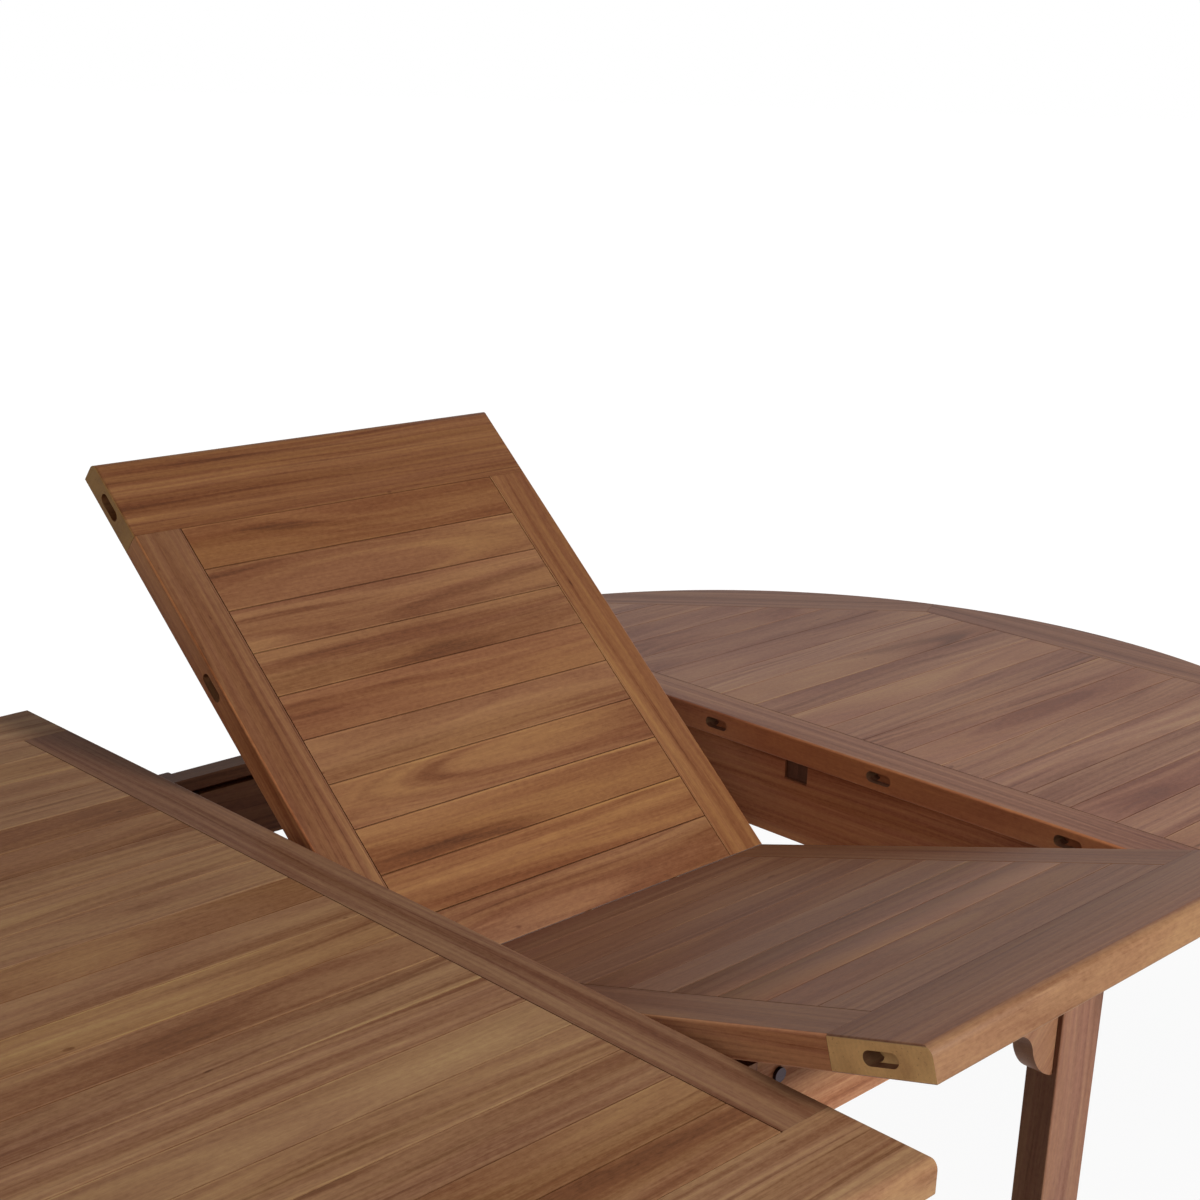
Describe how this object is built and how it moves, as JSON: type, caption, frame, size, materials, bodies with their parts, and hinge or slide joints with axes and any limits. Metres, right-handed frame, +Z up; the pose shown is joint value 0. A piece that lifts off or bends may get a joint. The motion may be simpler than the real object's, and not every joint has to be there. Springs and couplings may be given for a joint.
{
  "type": "extending round table",
  "caption": "Round slatted wooden dining table, pulled open in the middle, with a folding leaf hung in the frame and shown half unfolded in the gap.",
  "frame": {"origin": "on the floor under the middle of the whole table as it stands open", "axes": "+X along the way the table extends, +Y away from the side that the leaf is hung on, +Z up"},
  "size_m": [1.758, 1.2, 1.0329],
  "materials": {
    "teak_left": "satin",
    "teak_right": "satin",
    "teak_near_leaf": "satin",
    "teak_far_leaf": "satin",
    "teak_frame": "satin",
    "hardwood": "plain",
    "steel": "brushed",
    "brass": "satin",
    "glide": "matte"
  },
  "bodies": {
    "frame": {"bracket_screws": "steel", "far_side_apron": "teak_frame", "left_end_apron": "teak_frame", "left_far_leg": "teak_frame", "left_near_leg": "teak_frame", "leg_bolts": "steel", "leg_brackets": "teak_frame", "leg_glides": "glide", "leg_inserts": "steel", "near_side_apron": "teak_frame", "pivot_bolts": "steel", "pivot_brackets": "steel", "pivot_pins": "steel", "right_end_apron": "teak_frame", "right_far_leg": "teak_frame", "right_near_leg": "teak_frame"},
    "left_top": {"left_top_alignment_keys": "hardwood", "left_top_battens": "teak_left", "left_top_end_rim": "teak_left", "left_top_far_corner_rim": "teak_left", "left_top_far_rim": "teak_left", "left_top_guide_tongues": "hardwood", "left_top_inner_rail": "teak_left", "left_top_near_corner_rim": "teak_left", "left_top_near_rim": "teak_left", "left_top_rim_splines": "hardwood", "left_top_runners": "teak_left", "left_top_screws": "steel", "left_top_slats": "teak_left"},
    "right_top": {"right_top_battens": "teak_right", "right_top_end_rim": "teak_right", "right_top_far_corner_rim": "teak_right", "right_top_far_rim": "teak_right", "right_top_guide_tongues": "hardwood", "right_top_inner_rail": "teak_right", "right_top_near_corner_rim": "teak_right", "right_top_near_rim": "teak_right", "right_top_rim_splines": "hardwood", "right_top_runners": "teak_right", "right_top_screws": "steel", "right_top_slats": "teak_right"},
    "near_leaf": {"near_leaf_alignment_keys": "hardwood", "near_leaf_battens": "teak_near_leaf", "near_leaf_hinge_barrels": "brass", "near_leaf_pivot_bushes": "brass", "near_leaf_rim": "teak_near_leaf", "near_leaf_screws": "steel", "near_leaf_slats": "teak_near_leaf", "near_leaf_stiles": "teak_near_leaf"},
    "far_leaf": {"far_leaf_alignment_keys": "hardwood", "far_leaf_battens": "teak_far_leaf", "far_leaf_hinge_barrels": "brass", "far_leaf_rim": "teak_far_leaf", "far_leaf_screws": "steel", "far_leaf_slats": "teak_far_leaf", "far_leaf_stiles": "teak_far_leaf"},
    "near_link": {"near_hinge_links": "brass"},
    "far_link": {"far_hinge_links": "brass"}
  },
  "joints": [
    {"name": "left_top_slide", "type": "slide", "parent": "frame", "child": "left_top", "axis": [-1, 0, 0], "range_m": [-0.009, 0.036]},
    {"name": "right_top_slide", "type": "slide", "parent": "frame", "child": "right_top", "axis": [1, 0, 0], "range_m": [-0.039, 0.006]},
    {"name": "leaf_pivot", "type": "hinge", "parent": "frame", "child": "near_leaf", "pos_m": [-0.015, -0.36, 0.706], "axis": [-1, 0, 0], "range_deg": [-17, 35.6]},
    {"name": "leaf_fold", "type": "hinge", "parent": "near_leaf", "child": "far_leaf", "pos_m": [-0.015, -0.00282, 0.64297], "axis": [1, 0, 0], "range_deg": [-58.14, 121.75]},
    {"name": "near_link_turn", "type": "hinge", "parent": "near_leaf", "child": "near_link", "pos_m": [-0.015, -0.00282, 0.64297], "axis": [1, 0, 0], "range_deg": [-19.38, 40.58]},
    {"name": "far_link_turn", "type": "hinge", "parent": "near_leaf", "child": "far_link", "pos_m": [-0.015, -0.00282, 0.64297], "axis": [1, 0, 0], "range_deg": [-38.76, 81.17]}
  ],
  "couplings": [
    {"joint": "leaf_fold", "follows": "leaf_pivot", "ratio": 3.42},
    {"joint": "near_link_turn", "follows": "leaf_pivot", "ratio": 1.14},
    {"joint": "far_link_turn", "follows": "leaf_pivot", "ratio": 2.28}
  ]
}
